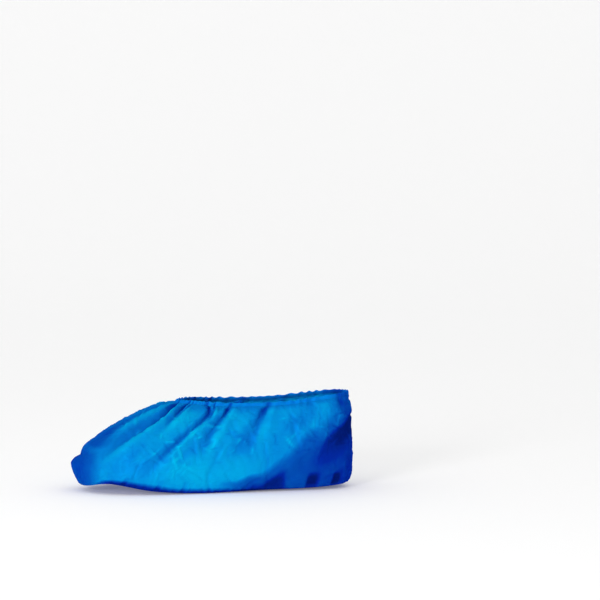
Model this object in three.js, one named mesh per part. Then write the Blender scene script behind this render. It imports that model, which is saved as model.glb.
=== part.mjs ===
// A disposable film shoe cover in the form that it takes when worn: a hollow shell of thin blue film,
// welded up the toe and the heel, with a gathered elastic hem round its mouth.
// Millimetres, +Z up. The toe points along -X and the heel along +X.
// The origin is on the inner face of the sole, where the sole of the foot stands.
import * as THREE from "three";

// Driving dimensions.
const LENGTH = 290; // toe to heel
const WIDTH = 118; // across the ball of the foot
const HEIGHT = 100; // floor to the top of the hem at the heel
const WALL = 1; // film
const HEM_TALL = 4; // the hem folded over the elastic
const HEM_THICK = 2.6;
const SEAT_GAP = 0.3; // between the film's top edge and the hem, and between the film's own pieces

// Fineness of the facets.
const STEPS_PER_RIB = 9; // columns between two ribs
const ROWS = 15; // from the mouth to the edge of the sole
const HEM_SIDES = 6;

// Rows of numbers under named columns, as a list of objects.
function table(columns, rows) {
  return rows.map((row) =>
    Object.fromEntries(columns.map((name, i) => [name, row[i]])),
  );
}

// The film's ribs, down one side from the heel weld to the toe weld. Each runs from the rim, over the
// knee, where the wall is widest and upright, to the edge of the sole. Along is a share of half the
// length (+ heel, - toe), across a share of half the width, and the rest are shares of the height.
// Puff and lift are how far the film swells out and up under the hem, upright is how far it stands straight
// over the knee, and footRound is the share of the knee's height that it stays upright below it.
const RIBS = table(
  [
    ["rimAlong", "rimAcross", "rimUp", "puff", "lift"],
    ["kneeAlong", "kneeAcross", "kneeUp", "upright", "footRound"],
    ["soleAlong", "soleAcross", "soleUp"],
  ].flat(),
  [
    [0.972, 0, 1, 0.02, 0.005, 1, 0, 0.46, 0.24, 0.75, 0.945, 0, 0.04],
    [0.903, 0.39, 0.99, 0.025, 0.005, 0.945, 0.49, 0.45, 0.24, 0.72, 0.885, 0.4, 0.02],
    [0.717, 0.56, 0.95, 0.03, 0.005, 0.73, 0.76, 0.42, 0.24, 0.6, 0.68, 0.55, 0],
    [0.455, 0.61, 0.92, 0.035, 0.005, 0.372, 0.85, 0.37, 0.22, 0.55, 0.317, 0.66, 0],
    [0.166, 0.61, 0.916, 0.05, 0.01, -0.055, 0.95, 0.33, 0.22, 0.55, -0.124, 0.81, 0],
    [-0.041, 0.53, 0.92, 0.065, 0.03, -0.379, 1, 0.31, 0.2, 0.55, -0.455, 0.86, 0.035],
    [-0.172, 0.37, 0.924, 0.08, 0.065, -0.676, 0.86, 0.3, 0.19, 0.55, -0.738, 0.74, 0.085],
    [-0.248, 0.17, 0.922, 0.085, 0.115, -0.903, 0.46, 0.27, 0.18, 0.55, -0.883, 0.38, 0.065],
    [-0.269, 0, 0.922, 0.08, 0.13, -0.973, 0, 0.25, 0.2, 0.55, -0.907, 0, 0.035],
  ],
);
const TOE_RIB = RIBS.length - 1;
const CUT_RIB = 4; // where the toe's film is cut from the heel's
const LOOP = 2 * TOE_RIB; // ribs round the whole loop: the near side, then the far side back to the heel
const KNEE = 0.72; // share of a rib's rows that lie above the knee
const FLARE = 0.25; // how soon the film leaves the rim for the knee
const DROP = 0.6; // and how much later it starts to fall
const FOOT_TUCK = 8; // how far the wall rolls in under the sole

// Gathers, which run down the ribs from the hem. At is a place on the loop: 0 heel, 8 toe, 16 heel again.
// Depth is in mm, reach is a share of the way down to the sole, and the rest are in ribs: half the width, how
// far the gather drifts along the loop on its way, and how far it is bent aside just under the hem.
const GATHERS = table(
  ["at", "depth", "width", "reach", "drift", "bend"],
  [
    [1.15, 1.6, 0.3, 0.4, 0, 0],
    [2.25, 1.8, 0.26, 0.5, 0.1, 0],
    [3.4, 4.5, 0.17, 0.74, 0.05, -0.1],
    [4.22, 5, 0.17, 0.66, 0, 0.06],
    [4.34, 5.5, 0.18, 0.8, 0.95, 0.74],
    [5.68, 5, 0.2, 0.5, -0.5, 0.42],
    [5.05, 6.5, 0.22, 0.64, 3.17, 1.95],
    [7.6, 4.5, 0.25, 0.5, -0.1, 0],
    [8.25, 5, 0.26, 0.5, 0.05, 0],
    [8.95, 6, 0.27, 0.62, 0.2, 0],
    [9.8, 5, 0.24, 0.5, 0.15, -0.2],
    [10.7, 5.5, 0.2, 0.72, -0.2, -0.3],
    [11.4, 4.5, 0.17, 0.55, 0, -0.2],
    [12.3, 4.5, 0.18, 0.6, -0.1, 0],
    [13.3, 2.4, 0.22, 0.5, 0, 0],
    [14.6, 2, 0.28, 0.45, 0, 0],
  ],
);
const GATHER_AT_RIM = 0.3; // share of a gather's depth that reaches the hem
const GATHER_PEAK = 0.14; // share of the way down where it is deepest
const BEND_REACH = 0.15; // and how soon its bend straightens
const SHOULDER = 0.4; // height of the swell on each side of a gather, as a share of its depth
const SHOULDER_AT = 1.9; // and its place, in widths

// Creases and swells that cross the ribs. Span is their half-length in ribs, down their place as a share
// of the way to the sole, and tall their half-height as a share of it. Rise is in mm, out of the wall.
const CREASES = table(
  ["at", "span", "down", "tall", "rise"],
  [
    [8, 0.75, 0.72, 0.08, 3.5], // lobe of spare film in front of the toe
    [8, 0.8, 0.62, 0.04, -4.5], // and the crease above it
    [0, 0.7, 0.13, 0.06, -1.5], // slack folds down the heel
    [0, 0.8, 0.4, 0.05, -1.6],
  ],
);

// Dents low on the wall, where the film sinks in beside the edge of the sole. Width is in ribs.
const DENTS = table(
  ["at", "width", "depth"],
  [
    [1.12, 0.2, 2.4],
    [1.97, 0.18, 2.4],
    [2.85, 0.16, 1.6],
    [13.15, 0.16, 1.6],
    [14.03, 0.18, 2.4],
    [14.88, 0.2, 2.4],
  ],
);
const DENT_DOWN = 0.9;
const DENT_TALL = 0.06;
const SMOOTH_FOOT = 0.93; // from here down to the sole no fold reaches

// The folded corner of the bag at the heel: along a slanting edge, from high on the heel to the arch,
// the film steps in, and it comes out again towards the sole.
const TUCK_DEPTH = 3.5;
const TUCK_AT_HEEL = 0.2; // share of its depth at the heel weld, beside which it deepens
const TUCK_DEEPENS = [0.2, 1.6]; // between these ribs
const TUCK_HEEL_DOWN = 0.42; // where its edge meets the heel weld
const TUCK_END = 3.4; // rib where its edge meets the sole
const TUCK_SOFT = 0.2; // how gradually the film turns in

// Small ruffles that the elastic draws up all round the mouth.
const RUFFLES = 36;
const RUFFLE_DEPTH = 0.5;
const RUFFLE_REACH = 0.16;
const LEVEL_REACH = 0.2; // down to here the elastic draws the film level, not square to its wall

const COLUMNS = LOOP * STEPS_PER_RIB;
const UP = new THREE.Vector3(0, 0, 1);

function bell(x) {
  return Math.exp(-x * x);
}

// Shortest way round the loop from one place to another, in ribs.
function around(from, to) {
  const turn = (((to - from) % LOOP) + LOOP) % LOOP;
  return turn > LOOP / 2 ? turn - LOOP : turn;
}

// A closed curve through one named point of every rib. Its parameter runs rib by rib.
function ribLoop(pointOf) {
  const near = RIBS.map((rib) => pointOf(rib, -1));
  const far = RIBS.slice(1, TOE_RIB)
    .reverse()
    .map((rib) => pointOf(rib, 1));
  return new THREE.CatmullRomCurve3([...near, ...far], true, "catmullrom");
}

function place(along, across, up, side) {
  return new THREE.Vector3(
    (along * LENGTH) / 2,
    (side * across * WIDTH) / 2,
    up * HEIGHT - WALL,
  );
}

const loops = {
  rim: ribLoop((r, side) =>
    place(r.rimAlong, r.rimAcross, r.rimUp, side).addScaledVector(
      UP,
      -HEM_TALL - SEAT_GAP,
    ),
  ),
  knee: ribLoop((r, side) => place(r.kneeAlong, r.kneeAcross, r.kneeUp, side)),
  sole: ribLoop((r, side) => place(r.soleAlong, r.soleAcross, r.soleUp, side)),
  swell: ribLoop((r) =>
    new THREE.Vector3(r.puff, r.lift, r.upright).multiplyScalar(HEIGHT),
  ),
  foot: ribLoop((r) => new THREE.Vector3(r.footRound, 0, 0)),
};

// Level direction that points out of a loop.
function outward(loop, share) {
  const tangent = loop.getTangent(share);
  return new THREE.Vector3(-tangent.y, tangent.x, 0).normalize();
}

// The taut film, before it gathers: the point at a place on the loop, down a share of the way to the sole.
function tautFilm(at, down) {
  const share = ((at / LOOP) % 1 + 1) % 1;
  const rim = loops.rim.getPoint(share);
  const knee = loops.knee.getPoint(share);
  const sole = loops.sole.getPoint(share);
  const { x: puff, y: lift, z: upright } = loops.swell.getPoint(share);
  if (down < KNEE) {
    const lean = knee.clone().sub(rim).multiplyScalar(FLARE);
    lean.z *= DROP;
    const leave = rim
      .clone()
      .add(lean)
      .addScaledVector(outward(loops.rim, share), puff)
      .addScaledVector(UP, lift);
    const arrive = knee.clone().addScaledVector(UP, upright);
    const wall = new THREE.CubicBezierCurve3(rim, leave, arrive, knee);
    return wall.getPoint(down / KNEE);
  }
  const drop = loops.foot.getPoint(share).x * (knee.z - sole.z);
  const leave = knee.clone().addScaledVector(UP, -drop);
  const arrive = sole
    .clone()
    .addScaledVector(outward(loops.sole, share), FOOT_TUCK);
  const foot = new THREE.CubicBezierCurve3(knee, leave, arrive, sole);
  return foot.getPoint((down - KNEE) / (1 - KNEE));
}

// How far a gather pulls the film at a place: in along its line, and out on its two shoulders.
function gatherRise(gather, at, down) {
  if (down >= gather.reach) return 0;
  const bent = gather.bend * Math.exp(-down / BEND_REACH);
  const line = gather.at + gather.drift * down + bent;
  const off = around(line, at) / gather.width;
  const rising = Math.min(1, down / GATHER_PEAK);
  const start = THREE.MathUtils.lerp(GATHER_AT_RIM, 1, rising);
  const fade = 1 - THREE.MathUtils.smoothstep(down, GATHER_PEAK, gather.reach);
  const shoulders = bell(off - SHOULDER_AT) + bell(off + SHOULDER_AT);
  return gather.depth * start * fade * (SHOULDER * shoulders - bell(off));
}

function creaseRise(crease, at, down) {
  const off = around(crease.at, at) / crease.span;
  return crease.rise * bell(off) * bell((down - crease.down) / crease.tall);
}

function dentRise(dent, at, down) {
  const off = around(dent.at, at) / dent.width;
  return -dent.depth * bell(off) * bell((down - DENT_DOWN) / DENT_TALL);
}

function tuckRise(at, down) {
  const fromHeel = Math.abs(around(0, at));
  const edge = THREE.MathUtils.lerp(TUCK_HEEL_DOWN, 1, fromHeel / TUCK_END);
  const step = THREE.MathUtils.smoothstep(down, edge, edge + TUCK_SOFT);
  const fade = 1 - THREE.MathUtils.smoothstep(down, edge + TUCK_SOFT, 1);
  const deepens = THREE.MathUtils.smoothstep(fromHeel, ...TUCK_DEEPENS);
  const depth = TUCK_DEPTH * THREE.MathUtils.lerp(TUCK_AT_HEEL, 1, deepens);
  return -depth * step * fade;
}

function ruffleRise(at, down) {
  const wave = Math.cos((2 * Math.PI * RUFFLES * at) / LOOP);
  const fade = 1 - THREE.MathUtils.smoothstep(down, 0, RUFFLE_REACH);
  return RUFFLE_DEPTH * wave * fade;
}

// How far the film stands out of its taut form.
function rise(at, down) {
  const sum = (rows, riseOf) =>
    rows.reduce((total, row) => total + riseOf(row, at, down), 0);
  const wall =
    sum(GATHERS, gatherRise) + sum(CREASES, creaseRise) + sum(DENTS, dentRise);
  const onWall = 1 - THREE.MathUtils.smoothstep(down, SMOOTH_FOOT, 1);
  return (wall + tuckRise(at, down)) * onWall + ruffleRise(at, down);
}

// Rings of points from the mouth to the edge of the sole, one for each row.
function rings(pointAt) {
  return Array.from({ length: ROWS + 1 }, (_, row) =>
    Array.from({ length: COLUMNS }, (_, column) =>
      pointAt(column / STEPS_PER_RIB, row / ROWS),
    ),
  );
}

// Outward normals of rings of points. The sole's edge faces straight down.
function ringNormals(points) {
  return points.map((ring, row) =>
    ring.map((_, column) => {
      if (row === ROWS) return UP.clone().negate();
      const next = ring[(column + 1) % COLUMNS];
      const last = ring[(column + COLUMNS - 1) % COLUMNS];
      const below = points[row + 1][column];
      const above = points[Math.max(row - 1, 0)][column];
      const round = next.clone().sub(last);
      return round.cross(below.clone().sub(above)).normalize();
    }),
  );
}

// Which way the film is drawn in or out: level at the hem, and square to the taut wall below it.
function pullDirections(points) {
  return ringNormals(points).map((ring, row) =>
    ring.map((square, column) => {
      const level = outward(loops.rim, column / COLUMNS);
      const below = THREE.MathUtils.smoothstep(row / ROWS, 0, LEVEL_REACH);
      return level.lerp(square, below).normalize();
    }),
  );
}

function moved(points, directions, distanceOf) {
  return points.map((ring, row) =>
    ring.map((point, column) =>
      point
        .clone()
        .addScaledVector(directions[row][column], distanceOf(row, column)),
    ),
  );
}

const taut = rings(tautFilm);
const outer = moved(taut, pullDirections(taut), (row, column) =>
  rise(column / STEPS_PER_RIB, row / ROWS),
);
const inner = moved(outer, ringNormals(outer), () => -WALL);

function meshOf(name, points, triangles, material) {
  const geometry = new THREE.BufferGeometry().setFromPoints(points);
  geometry.setIndex(triangles.flat());
  geometry.computeVertexNormals();
  const mesh = new THREE.Mesh(geometry, material);
  mesh.name = name;
  return mesh;
}

// A four-sided facet as two triangles.
function quad(a, b, c, d) {
  return [a, b, c, a, c, d];
}

// A facet of three or four sides, whichever is left when a corner that comes twice is counted once.
function facet(...corners) {
  const once = corners.filter((corner, i) => corners.indexOf(corner) === i);
  return once.length === 4 ? quad(...once) : once;
}

// The film is one sheet. It comes in four simple pieces: a wall round the toe, a wall round the heel, and
// the soles of both. The cuts between them run down one rib on each side and straight across the sole.
const blueFilm = new THREE.MeshStandardMaterial({
  color: 0x0b8cdc,
  roughness: 0.38,
  metalness: 0,
  side: THREE.DoubleSide,
});

// A point at a cut, drawn half a gap back towards its neighbour.
function drawnBack(point, neighbour) {
  const way = neighbour.clone().sub(point).normalize();
  return point.clone().addScaledVector(way, SEAT_GAP / 2);
}

// A wall from one cut to the next: an outer and an inner skin, with strips round their edges.
function filmWall(name, first, last) {
  const span = last - first;
  const skins = [outer, inner].map((skin) =>
    skin.map((ring) => {
      const columns = Array.from({ length: span + 1 }, (_, i) => first + i);
      const strip = columns.map((column) => ring[column % COLUMNS]);
      return strip.map((point, i) => {
        if (i === 0) return drawnBack(point, strip[1]);
        if (i === span) return drawnBack(point, strip[span - 1]);
        return point;
      });
    }),
  );
  const at = (skin, row, i) => (skin * (ROWS + 1) + row) * (span + 1) + i;
  const triangles = [];
  for (let i = 0; i < span; i++) {
    for (let row = 0; row < ROWS; row++) {
      const corners = (skin) => [
        at(skin, row, i),
        at(skin, row, i + 1),
        at(skin, row + 1, i + 1),
        at(skin, row + 1, i),
      ];
      triangles.push(quad(...corners(0)), quad(...corners(1).reverse()));
    }
    const rim = [at(0, 0, i), at(1, 0, i), at(1, 0, i + 1), at(0, 0, i + 1)];
    const foot = [at(0, ROWS, i + 1), at(1, ROWS, i + 1), at(1, ROWS, i), at(0, ROWS, i)];
    triangles.push(quad(...rim), quad(...foot));
  }
  for (let row = 0; row < ROWS; row++) {
    const side = (i) => [
      at(0, row, i),
      at(0, row + 1, i),
      at(1, row + 1, i),
      at(1, row, i),
    ];
    triangles.push(quad(...side(0)), quad(...side(span).reverse()));
  }
  return meshOf(name, skins.flat(2), triangles, blueFilm);
}

// The sole between two columns of the near side, one of them the tip at the heel or the toe and the other
// a cut: rungs from the near edge to the far one, in two skins. Each skin's corner is next to its partner.
function filmSole(name, first, last) {
  const edge = outer[ROWS].map((point, column) =>
    point
      .clone()
      .addScaledVector(outward(loops.sole, column / COLUMNS), -SEAT_GAP),
  );
  const isTip = (column) => column % (COLUMNS / 2) === 0;
  const points = [];
  const rungs = [];
  for (let column = first; column <= last; column++) {
    const isCut = !isTip(column) && (column === first || column === last);
    const inward = column === first ? 1 : -1;
    const ends = isTip(column) ? [column] : [column, COLUMNS - column];
    const corners = ends.map((end, far) => {
      const neighbour = edge[far ? end - inward : end + inward];
      const low = isCut ? drawnBack(edge[end], neighbour) : edge[end];
      return points.push(low, low.clone().addScaledVector(UP, WALL)) - 2;
    });
    rungs.push({ near: corners[0], far: corners.at(-1) });
  }
  const triangles = rungs.slice(1).flatMap((after, i) => {
    const { near, far } = rungs[i];
    return [
      facet(near, after.near, after.far, far),
      facet(far + 1, after.far + 1, after.near + 1, near + 1),
      facet(after.near, near, near + 1, after.near + 1),
      facet(far, after.far, after.far + 1, far + 1),
    ];
  });
  const cut = isTip(first) ? rungs.at(-1) : rungs[0];
  const end = [cut.near, cut.far, cut.far + 1, cut.near + 1];
  triangles.push(quad(...(isTip(first) ? end.reverse() : end)));
  return meshOf(name, points, triangles, blueFilm);
}

// The hem: a flattened tube of film round the elastic, which rides on the film's gathered edge.
function elasticHem() {
  const points = [];
  const triangles = [];
  const edges = outer[0].map((edge, column) => {
    const under = inner[0][column];
    return edge.clone().lerp(under, 0.5).setZ(Math.max(edge.z, under.z));
  });
  for (let column = 0; column < COLUMNS; column++) {
    const along = edges[(column + 1) % COLUMNS]
      .clone()
      .sub(edges[(column + COLUMNS - 1) % COLUMNS]);
    const level = new THREE.Vector3(-along.y, along.x, 0).normalize();
    const middle = edges[column]
      .clone()
      .addScaledVector(UP, SEAT_GAP + HEM_TALL / 2);
    for (let side = 0; side < HEM_SIDES; side++) {
      const turn = (2 * Math.PI * (side + 0.5)) / HEM_SIDES;
      points.push(
        middle
          .clone()
          .addScaledVector(level, (Math.cos(turn) * HEM_THICK) / 2)
          .addScaledVector(UP, (Math.sin(turn) * HEM_TALL) / 2),
      );
      const next = ((column + 1) % COLUMNS) * HEM_SIDES;
      const after = (side + 1) % HEM_SIDES;
      triangles.push(
        quad(
          column * HEM_SIDES + side,
          column * HEM_SIDES + after,
          next + after,
          next + side,
        ),
      );
    }
  }
  const blueHem = new THREE.MeshStandardMaterial({
    color: 0x0a78bd,
    roughness: 0.42,
    metalness: 0,
  });
  return meshOf("elastic_hem", points, triangles, blueHem);
}

const heel = 0;
const nearCut = CUT_RIB * STEPS_PER_RIB;
const toe = COLUMNS / 2;
const farCut = COLUMNS - nearCut;
const shoeCover = new THREE.Group();
shoeCover.add(
  filmWall("toe_film", nearCut, farCut),
  filmWall("heel_film", farCut, COLUMNS + nearCut),
  filmSole("toe_sole", nearCut, toe),
  filmSole("heel_sole", heel, nearCut),
  elasticHem(),
);

export default shoeCover;
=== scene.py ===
# %% [markdown]
# # A film shoe cover
# A disposable shoe cover is a folded sheet of very thin blue polyethylene, welded up the toe and up the
# heel, with a strip of elastic in its hem. Worn, the elastic draws the film up in gathers, spare film
# hangs in a lobe at the toe, and the corner of the bag tucks in under the heel.
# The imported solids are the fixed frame. They give the cover's length, width and height, and the looks are
# built around them.

import bmesh
import bpy
import numpy as np
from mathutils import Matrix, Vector


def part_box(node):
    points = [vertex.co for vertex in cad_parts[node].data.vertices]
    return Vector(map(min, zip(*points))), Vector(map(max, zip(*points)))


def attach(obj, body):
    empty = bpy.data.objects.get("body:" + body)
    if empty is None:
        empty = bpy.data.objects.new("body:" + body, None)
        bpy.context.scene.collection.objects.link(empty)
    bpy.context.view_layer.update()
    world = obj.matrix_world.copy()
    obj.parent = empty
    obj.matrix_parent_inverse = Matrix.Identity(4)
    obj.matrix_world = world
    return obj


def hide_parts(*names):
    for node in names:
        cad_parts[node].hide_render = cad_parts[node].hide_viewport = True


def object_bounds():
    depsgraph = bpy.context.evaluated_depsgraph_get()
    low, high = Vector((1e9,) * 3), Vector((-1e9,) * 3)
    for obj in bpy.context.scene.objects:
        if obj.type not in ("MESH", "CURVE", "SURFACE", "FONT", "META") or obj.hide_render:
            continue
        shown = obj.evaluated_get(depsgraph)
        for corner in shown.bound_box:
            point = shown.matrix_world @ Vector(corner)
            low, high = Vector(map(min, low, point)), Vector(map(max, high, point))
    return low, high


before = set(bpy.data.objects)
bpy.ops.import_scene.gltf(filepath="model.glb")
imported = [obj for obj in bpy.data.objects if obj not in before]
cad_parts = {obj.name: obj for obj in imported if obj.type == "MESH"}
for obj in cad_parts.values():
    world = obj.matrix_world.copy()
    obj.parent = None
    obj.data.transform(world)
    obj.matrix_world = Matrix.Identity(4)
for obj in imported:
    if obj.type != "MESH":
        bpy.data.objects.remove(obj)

CAD_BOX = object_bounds()
print("nodes", sorted(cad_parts), "box", [tuple(corner) for corner in CAD_BOX])

# %% [markdown]
# ## Camera
# The camera comes first, because every fold is judged from it. The cover is seen from its side, a
# little from the toe's end and a little from above, through a long lens from three metres. It could be
# set by eye. Its place follows instead from the facts of the view: two angles, the distance, and the
# pixel where the middle of the sole stands on the floor.

# %% Camera
FRAME_PIXELS = 600
FLOOR_Z = CAD_BOX[0].z
SOLE_MIDDLE = Vector((0, 0, FLOOR_Z))
SOLE_MIDDLE_PIXEL = (212, 487)
VIEW_AZIMUTH = np.radians(-6)
VIEW_ELEVATION = np.radians(7)
VIEW_DISTANCE = 3.0
METRES_PER_PIXEL = 0.00103  # at the middle of the sole


def make_camera():
    level = np.cos(VIEW_ELEVATION)
    back = Vector((np.sin(VIEW_AZIMUTH) * level, -np.cos(VIEW_AZIMUTH) * level, np.sin(VIEW_ELEVATION)))
    right = Vector((np.cos(VIEW_AZIMUTH), np.sin(VIEW_AZIMUTH), 0))
    up = back.cross(right)
    aside = (FRAME_PIXELS / 2 - SOLE_MIDDLE_PIXEL[0]) * METRES_PER_PIXEL
    above = (SOLE_MIDDLE_PIXEL[1] - FRAME_PIXELS / 2) * METRES_PER_PIXEL
    eye = SOLE_MIDDLE + back * VIEW_DISTANCE
    aim = SOLE_MIDDLE + right * aside + up * above
    data = bpy.data.cameras.new("camera")
    frame_width = FRAME_PIXELS * METRES_PER_PIXEL
    data.lens = data.sensor_width * VIEW_DISTANCE / frame_width
    camera = bpy.data.objects.new("camera", data)
    camera.location = eye
    camera.rotation_mode = "QUATERNION"
    camera.rotation_quaternion = (aim - eye).to_track_quat("-Z", "Y")
    bpy.context.scene.collection.objects.link(camera)
    bpy.context.scene.camera = camera
    return camera


camera = make_camera()
print("camera lens", round(camera.data.lens, 1), "mm, at", tuple(round(x, 3) for x in camera.location))

# %% [markdown]
# ## The taut form
# Before it gathers, the film is a smooth shell. It could be sculpted by hand, but a few ribs describe
# it better: each rib runs from the rim, over the knee, where the wall is widest and upright, to the
# edge of the sole. Smooth closed curves join the ribs into rings. A place on the film is then two
# numbers: `at`, the rib that it lies by, from 0 at the heel over 8 at the toe and back to 16, and
# `down`, how far it is on the way from the mouth, 0, to the edge of the sole, 1.

# %% Ribs
MM = 0.001
FILM_NODES = ("toe_film", "heel_film", "toe_sole", "heel_sole")
film_corners = np.array([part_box(node) for node in FILM_NODES])
FILM_LOW = Vector(film_corners[:, 0].min(0))
FILM_HIGH = Vector(film_corners[:, 1].max(0))
HALF_LENGTH = (FILM_HIGH.x - FILM_LOW.x) / 2
HALF_WIDTH = (FILM_HIGH.y - FILM_LOW.y) / 2
HEIGHT = CAD_BOX[1].z - FLOOR_Z
HEM_TALL = CAD_BOX[1].z - FILM_HIGH.z

RIB_COLUMNS = [
    ["rim_along", "rim_across", "rim_up", "puff", "lift"],
    ["knee_along", "knee_across", "knee_up", "upright", "foot_round"],
    ["sole_along", "sole_across", "sole_up"],
]
# From the heel weld to the toe weld. Along is a share of half the length, across of half the width,
# and up, puff, lift and upright are shares of the height. Puff and lift are how far the film swells out
# and up under the hem, and upright is how far it stands straight over the knee. Foot_round is how far it
# does below the knee, as a share of the knee's height over the sole.
RIB_ROWS = [
    [0.972, 0, 0.984, 0.02, 0.005, 1, 0, 0.46, 0.24, 0.75, 0.945, 0, 0.05],
    [0.903, 0.39, 0.978, 0.025, 0.005, 0.945, 0.49, 0.45, 0.24, 0.72, 0.885, 0.4, 0.04],
    [0.717, 0.56, 0.95, 0.03, 0.005, 0.73, 0.76, 0.42, 0.24, 0.6, 0.68, 0.55, 0.02],
    [0.455, 0.61, 0.91, 0.035, 0.005, 0.372, 0.85, 0.37, 0.22, 0.55, 0.317, 0.66, 0.012],
    [0.166, 0.61, 0.902, 0.05, 0.01, -0.055, 0.95, 0.33, 0.22, 0.55, -0.124, 0.81, 0],
    [-0.041, 0.53, 0.912, 0.065, 0.03, -0.379, 1, 0.31, 0.2, 0.55, -0.455, 0.86, 0.03],
    [-0.172, 0.37, 0.924, 0.08, 0.065, -0.676, 0.86, 0.3, 0.19, 0.55, -0.738, 0.74, 0.1],
    [-0.248, 0.17, 0.922, 0.085, 0.105, -0.903, 0.46, 0.27, 0.18, 0.55, -0.883, 0.38, 0.065],
    [-0.269, 0, 0.922, 0.08, 0.115, -0.973, 0, 0.25, 0.2, 0.7, -0.893, 0, 0.045],
]
rib = dict(zip(sum(RIB_COLUMNS, []), np.array(RIB_ROWS).T))
TOE = len(RIB_ROWS) - 1
LOOP = 2 * TOE
print("ribs", len(RIB_ROWS), "half length", round(HALF_LENGTH, 4), "half width", round(HALF_WIDTH, 4))

# %% Rings through the ribs


def unit(vectors):
    return vectors / np.linalg.norm(vectors, axis=-1, keepdims=True)


def all_round(column, mirrored=False):
    """A column of the ribs for the whole loop: the near side, then the far side back to the heel."""
    near = rib[column]
    return np.concatenate([-near if mirrored else near, near[TOE - 1:0:-1]])


def smooth_loop(values, at):
    """The closed Catmull-Rom curve through one value for each rib, and its slope."""
    first = np.floor(at).astype(int)
    t = (at - first)[..., None]
    a, b, c, d = (values[(first + step) % LOOP] for step in (-1, 0, 1, 2))
    square = 2 * a - 5 * b + 4 * c - d
    cube = 3 * b - 3 * c + d - a
    value = b + 0.5 * ((c - a) * t + square * t**2 + cube * t**3)
    slope = 0.5 * ((c - a) + 2 * square * t + 3 * cube * t**2)
    return value, slope


def point_loop(name, at, lift=0.0):
    """The points of one ring of the ribs, and the level directions out of it."""
    columns = [all_round(f"{name}_along"), all_round(f"{name}_across", True), all_round(f"{name}_up")]
    points = np.stack(columns, -1) * (HALF_LENGTH, HALF_WIDTH, HEIGHT)
    points += ((FILM_LOW.x + FILM_HIGH.x) / 2, 0, FLOOR_Z + lift)
    value, slope = smooth_loop(points, at)
    return value, unit(np.stack([-slope[..., 1], slope[..., 0], np.zeros_like(at)], -1))


def bezier(start, leave, arrive, end, t):
    s = 1 - t
    return start * s**3 + 3 * leave * s**2 * t + 3 * arrive * s * t**2 + end * t**3


rim_ring, _ = point_loop("rim", np.arange(LOOP))
rim_up = rim_ring[:, 2] / MM
print("the rim lies", rim_up.min().round(1), "to", rim_up.max().round(1), "mm up")

# %% Taut film
KNEE = 0.72  # the knee's place on the way down
FLARE = np.array([0.25, 0.25, 0.15])  # how soon the film leaves the rim for the knee, on each axis
FOOT_TUCK = 8 * MM  # how far outside the edge of the sole the wall starts to roll in
UP = np.array([0, 0, 1.0])
COLUMNS_PER_RIB = 26
COLUMNS = LOOP * COLUMNS_PER_RIB
ROWS = 100


def taut_film(at, down):
    rim, rim_out = point_loop("rim", at, -HEM_TALL)
    knee, _ = point_loop("knee", at)
    sole, sole_out = point_loop("sole", at)
    swell_names = ("puff", "lift", "upright", "foot_round")
    swell, _ = smooth_loop(np.stack([all_round(name) for name in swell_names], -1), at)
    puff, lift, upright, foot_round = np.split(swell, len(swell_names), -1)
    leave = rim + (knee - rim) * FLARE + (rim_out * puff + UP * lift) * HEIGHT
    arrive = knee + UP * upright * HEIGHT
    wall = bezier(rim, leave, arrive, knee, np.clip(down / KNEE, 0, 1)[..., None])
    leave = knee - UP * foot_round * (knee - sole)
    arrive = sole + sole_out * FOOT_TUCK
    foot = bezier(knee, leave, arrive, sole, np.clip((down - KNEE) / (1 - KNEE), 0, 1)[..., None])
    return np.where((down < KNEE)[..., None], wall, foot)


AT, DOWN = np.meshgrid(np.arange(COLUMNS) * LOOP / COLUMNS, np.linspace(0, 1, ROWS + 1))
taut = taut_film(AT, DOWN)
print("taut film", taut.shape[:2], "points, box", taut.min((0, 1)).round(4), taut.max((0, 1)).round(4))

# %% [markdown]
# ## Gathers
# Where the elastic draws the mouth in, the spare film goes into pleats that run down the ribs. A cloth
# simulation of the whole gathering would be slow and hard to steer, so the pleats are placed one by
# one from a table. Each is a sharp valley with a rounded shoulder on both sides. It is narrow and deep
# just under the hem, it widens and dies out on the way down, and it leans, so that one of its walls is
# steep. Each also adds painted shade along its valley and a painted highlight on the ridge beside it to
# the film's tone.

# %% Gathers


def bell(x):
    return np.exp(-x * x)


def smooth_step(x, start, end):
    """Rises smoothly from 0 at the start to 1 at the end, which may lie before the start."""
    t = np.clip((x - start) / (end - start), 0, 1)
    return t * t * (3 - 2 * t)


def around(start, at):
    """The shortest way round the loop from one place to another, in ribs."""
    return (at - start + LOOP / 2) % LOOP - LOOP / 2


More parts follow.
